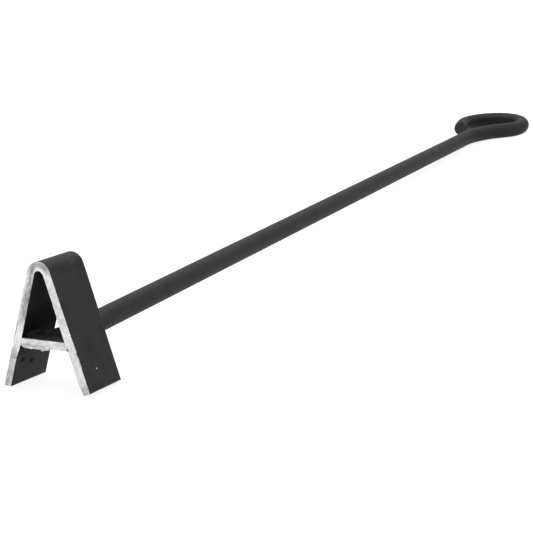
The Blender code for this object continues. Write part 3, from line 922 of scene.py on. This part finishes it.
def handle_piece(material):
    line = handle_line()
    rows = [(place, 1.0, False) for place in line]
    rows += [(straight_on(line[-1], ahead), shrink, True) for ahead, shrink in END_RINGS]
    run = 0.0
    before = line[0]
    rings, grain, wear_and_light, shade_and_darkening = [], [], [], []
    for (u, v, heading), shrink, at_end in rows:
        run += math.hypot(u - before[0], v - before[1])
        before = (u, v)
        past_straight = run + HANDLE_START - STRAIGHT_LENGTH
        bent = float(smooth(-12 * MM, 60 * MM, past_straight))
        around = past_straight / EYE_RUN
        in_eye = run > STRAIGHT_LENGTH + 50 * MM
        lift = max(u - STRAIGHT_LENGTH, 0.0) * math.tan(EYE_PITCH)
        lift += EYE_FAR_RISE * float(band(around, 0.35, 0.60, 0.60, 0.82))
        # paint darker over the eye, fading out along the straight
        darkening = EYE_DARKENING * float(smooth(-0.35, 0.05, around))
        for i in range(HANDLE_SIDES):
            angle = 2 * math.pi * i / HANDLE_SIDES
            right, up = math.cos(angle), math.sin(angle)
            place = Vector((run, right * HANDLE_RADIUS, up * HANDLE_RADIUS))
            inside = max(0.0, -right) ** 3 if in_eye else 0.0
            dent = 0.05 * MM * noise.noise(place * 60.0) + 0.02 * MM * noise.noise(place * 420.0)
            flats = 0.6 + 0.4 * noise.noise(place * 130.0)
            dent -= EYE_FLATTENING * inside * bent * flats
            radius = (HANDLE_RADIUS + STRAIGHT_EXTRA - EYE_LESS * bent + dent) * shrink
            across = v + radius * right * math.cos(heading)
            w = radius * (1 + (EYE_SWELL - 1) * bent) * up
            rings.append((across * math.cos(EYE_ROLL) + w * math.sin(EYE_ROLL),
                          u - radius * right * math.sin(heading),
                          w * math.cos(EYE_ROLL) - across * math.sin(EYE_ROLL) + lift))
            grain.append(tuple(place))
            on_end = (1.0 if shrink > 0.85 else 0.2) if at_end else 0.0
            wear_and_light.append(max(on_end, 0.25 * inside * bent))
            # painted shade on the eye's inner side where it faces down
            shaded = smooth(0.10, 0.65, -right) * smooth(0.80, 0.20, up) if inside else 0.0
            shade_and_darkening.append(0.0 if at_end else max(EYE_INSIDE_SHADE * float(shaded), darkening))
    values = {"grain": np.array(grain), "wear_and_light": np.array(wear_and_light), "shade_and_darkening": np.array(shade_and_darkening)}
    points = np.array(rings).reshape(len(rows), HANDLE_SIDES, 3)
    mesh = skin("handle_rod_steel", points, values)
    placing = Matrix.Translation((0.0, 0.0, HANDLE_FACE_HEIGHT))
    placing = placing @ Matrix.Rotation(HANDLE_SWING, 4, "Z") @ Matrix.Rotation(HANDLE_RISE, 4, "X")
    return finish_piece("handle_rod_steel", mesh, material, "handle_rod", placing)


# ---------------------------------------------------------------- studio and camera

WHITE = (1.0, 1.0, 1.0, 1.0)
WORLD_STRENGTH = 0.95
FLOOR_REACH = 40.0
FLOOR_DARK = (0.21, 0.21, 0.21)
FLOOR_LIGHT = (0.23, 0.23, 0.23)
FLOOR_GLOW = 0.86
SOFTBOX_PLACE = Vector((-0.2, 0.3, 1.7))
SOFTBOX_AIM = Vector((0.0, 0.1, 0.0))
SOFTBOX_SIZE = 2.4
SOFTBOX_POWER = 40.0

CAMERA_PLACE = (0.47344, -0.99118, 0.28319)
CAMERA_TURN = (73.7778, 4.1148, 27.9929)    # degrees
CAMERA_LENS = 91.182
CAMERA_SENSOR = 36.0


def link_object(name, data):
    added = bpy.data.objects.new(name, data)
    bpy.context.scene.collection.objects.link(added)
    return added


def studio():
    """Plain white floor, white surroundings and one large softbox overhead."""
    reach = FLOOR_REACH
    corners = [(-reach, -reach, 0), (reach, -reach, 0), (reach, reach, 0), (-reach, reach, 0)]
    floor_mesh = bpy.data.meshes.new("studio_floor")
    floor_mesh.from_pydata(corners, [], [(0, 1, 2, 3)])
    paper = Nodes("white_paper")
    coordinates = paper.put("ShaderNodeTexCoord").outputs["Object"]
    mottle = paper.noise(coordinates, scale=900.0, detail=2.0, roughness=0.5)
    paper.feed(paper.shader.inputs["Base Color"], paper.blend(mottle, FLOOR_DARK, FLOOR_LIGHT))
    paper.shader.inputs["Roughness"].default_value = 0.9
    paper.shader.inputs["Specular IOR Level"].default_value = 0.0
    paper.shader.inputs["Emission Color"].default_value = WHITE
    paper.shader.inputs["Emission Strength"].default_value = FLOOR_GLOW
    floor_mesh.materials.append(paper.material)
    floor = link_object("studio_floor", floor_mesh)

    world = bpy.data.worlds.new("studio_world")
    bpy.context.scene.world = world
    world.use_nodes = True
    background = world.node_tree.nodes["Background"]
    background.inputs["Color"].default_value = WHITE
    background.inputs["Strength"].default_value = WORLD_STRENGTH

    light = bpy.data.lights.new("overhead_softbox", "AREA")
    light.shape = "RECTANGLE"
    light.size = light.size_y = SOFTBOX_SIZE
    light.energy = SOFTBOX_POWER
    lamp = link_object("overhead_softbox", light)
    lamp.location = SOFTBOX_PLACE
    lamp.rotation_euler = (SOFTBOX_AIM - SOFTBOX_PLACE).to_track_quat("-Z", "Y").to_euler()


def photo_camera():
    """The camera fitted to the photo."""
    camera_data = bpy.data.cameras.new("photo_camera")
    camera_data.sensor_width = CAMERA_SENSOR
    camera_data.lens = CAMERA_LENS
    camera_data.clip_start = 0.05
    camera_data.clip_end = 50.0
    camera = link_object("photo_camera", camera_data)
    camera.location = CAMERA_PLACE
    camera.rotation_euler = [math.radians(turn) for turn in CAMERA_TURN]
    bpy.context.scene.camera = camera


# ---------------------------------------------------------------- all of it

steel = painted_and_ground("painted_and_ground_steel")
paint = black_paint("satin_black_paint")

head_piece(steel)
crossbar_piece(steel)
handle_piece(paint)
for side, side_name in ((-1, "left"), (1, "right")):
    for above, level in ((True, "upper"), (False, "lower")):
        node = f"weld_{side_name}_leg_{level}"
        corner_bead(node + "_bead", node, side, above, paint)
rim_bead("weld_handle_upper_bead", "weld_handle_upper", True, paint)
rim_bead("weld_handle_lower_bead", "weld_handle_lower", False, paint)
under_run_piece(steel)

studio()
photo_camera()
bpy.context.scene.view_settings.view_transform = "Standard"
